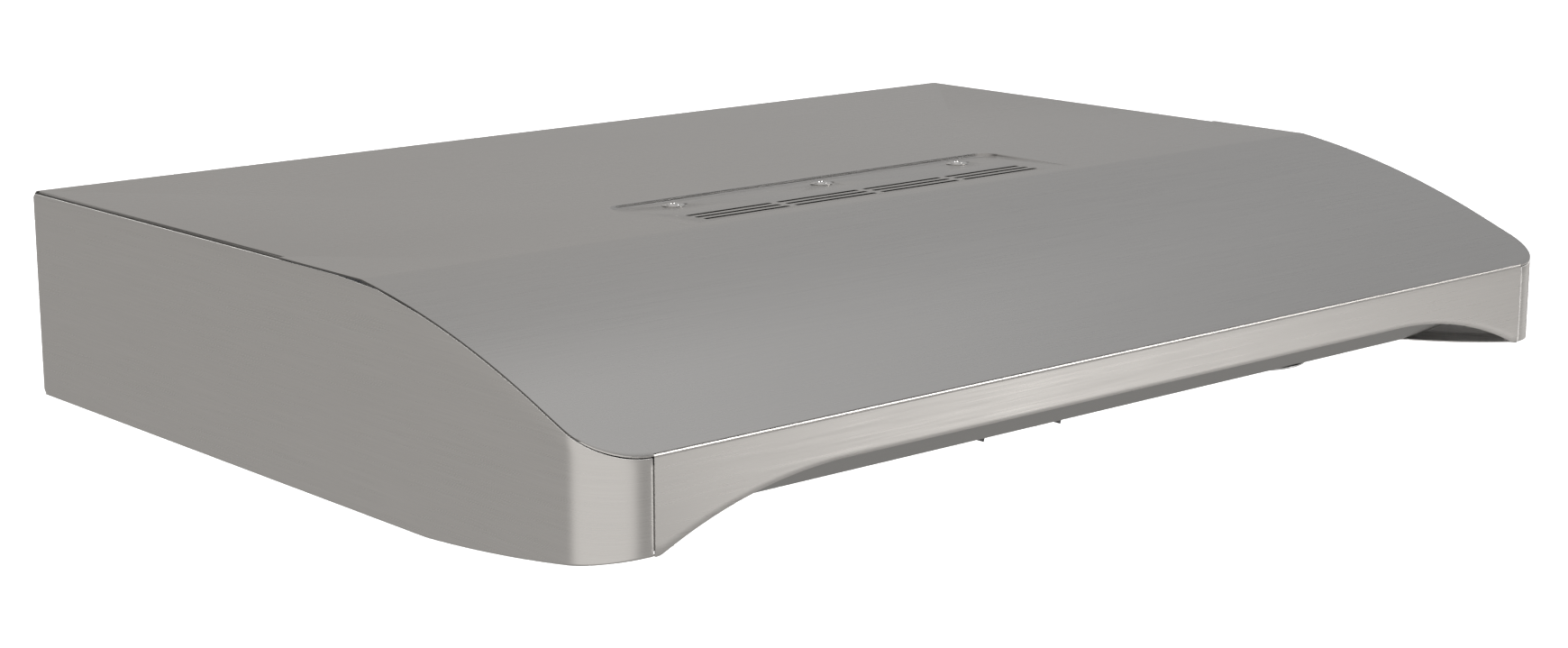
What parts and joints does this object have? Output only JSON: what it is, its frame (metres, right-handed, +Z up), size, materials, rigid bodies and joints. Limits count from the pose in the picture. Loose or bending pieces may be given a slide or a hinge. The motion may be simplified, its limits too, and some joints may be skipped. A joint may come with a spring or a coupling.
{
  "type": "under cabinet range hood",
  "caption": "Slim brushed-steel under cabinet range hood with curved front, top vent grille, lamps, switches, hinged grease filters and a rear duct outlet.",
  "frame": {"origin": "bottom plane, under the middle of the whole hood including its duct collar", "axes": "+X to the right seen from the front, +Y to the wall, +Z up"},
  "size_m": [0.7588, 0.5924, 0.1257],
  "materials": {
    "brushed_cover": "brushed along X",
    "brushed_sides": "brushed along Y",
    "brushed_rear": "brushed along X",
    "dark_steel": "satin grey paint",
    "zinc": "zinc-plated",
    "trim": "satin",
    "lens": "frosted",
    "aluminium": "mill finish",
    "mesh": "expanded mesh",
    "black_plastic": "fine grain",
    "rocker_plastic": "satin",
    "white_plastic": "moulded",
    "foam": "closed-cell foam",
    "motor_paint": "black enamel",
    "shaft_steel": "ground",
    "screw_steel": "plated",
    "cable": "sheathed"
  },
  "bodies": {
    "hood": {"canopy_cover": "brushed_cover", "side_panel_left": "brushed_sides", "side_panel_right": "brushed_sides", "rear_panel": "brushed_rear", "corner_backer_left": "dark_steel", "corner_backer_right": "dark_steel", "light_panel": "dark_steel", "light_bracket_left": "zinc", "light_bracket_right": "zinc", "lamp_bezel_left": "trim", "lamp_bezel_right": "trim", "lamp_lens_left": "lens", "lamp_lens_right": "lens", "lamp_module_left": "aluminium", "lamp_module_right": "aluminium", "switch_body_light": "black_plastic", "switch_body_fan": "black_plastic", "filter_rail_center": "zinc", "filter_rail_left": "zinc", "filter_rail_right": "zinc", "filter_rail_rear": "zinc", "scroll_wall": "zinc", "inlet_plate": "zinc", "finger_guard": "zinc", "blower_deck": "zinc", "blower_hangers": "zinc", "motor": "motor_paint", "duct_connector": "zinc", "outlet_gasket": "foam", "vent_plate": "dark_steel", "vent_screws": "screw_steel", "wiring_box": "zinc", "wiring_lid": "zinc", "terminal_block": "white_plastic", "capacitor": "white_plastic", "loom_front": "cable", "loom_lamps": "cable", "loom_motor": "cable", "rear_screws": "screw_steel", "blower_screws": "screw_steel", "panel_screws": "screw_steel", "connector_screws": "screw_steel"},
    "switch_light": {"rocker_light": "rocker_plastic"},
    "switch_fan": {"rocker_fan": "rocker_plastic"},
    "filter_left": {"filter_frame_left": "aluminium", "filter_mesh_left": "mesh"},
    "filter_right": {"filter_frame_right": "aluminium", "filter_mesh_right": "mesh"},
    "filter_latch_left": {"latch_left": "rocker_plastic"},
    "filter_latch_right": {"latch_right": "rocker_plastic"},
    "fan": {"motor_shaft": "shaft_steel", "impeller": "zinc"},
    "damper": {"damper_flap": "aluminium"}
  },
  "joints": [
    {"name": "light_rocker", "type": "hinge", "parent": "hood", "child": "switch_light", "pos_m": [-0.0374, -0.19525, 0.0065], "axis": [0, 1, 0], "range_deg": [-24, 0]},
    {"name": "fan_rocker", "type": "hinge", "parent": "hood", "child": "switch_fan", "pos_m": [0.0262, -0.19525, 0.0065], "axis": [0, 1, 0], "range_deg": [-24, 0]},
    {"name": "left_filter_drop", "type": "hinge", "parent": "hood", "child": "filter_left", "pos_m": [-0.17175, 0.22275, 0.0115], "axis": [1, 0, 0], "range_deg": [0, 60]},
    {"name": "right_filter_drop", "type": "hinge", "parent": "hood", "child": "filter_right", "pos_m": [0.17175, 0.22275, 0.0115], "axis": [1, 0, 0], "range_deg": [0, 60]},
    {"name": "left_latch_slide", "type": "slide", "parent": "filter_left", "child": "filter_latch_left", "axis": [0, 1, 0], "range_m": [0, 0.006], "stiffness_N_per_m": 300, "springref_m": -0.003},
    {"name": "right_latch_slide", "type": "slide", "parent": "filter_right", "child": "filter_latch_right", "axis": [0, 1, 0], "range_m": [0, 0.006], "stiffness_N_per_m": 300, "springref_m": -0.003},
    {"name": "fan_spin", "type": "hinge", "parent": "hood", "child": "fan", "pos_m": [-0.0178, 0.04925, 0.07], "axis": [0, 0, 1], "continuous": true},
    {"name": "damper_swing", "type": "hinge", "parent": "hood", "child": "damper", "pos_m": [0, 0.26825, 0.106], "axis": [1, 0, 0], "range_deg": [0, 75]}
  ]
}
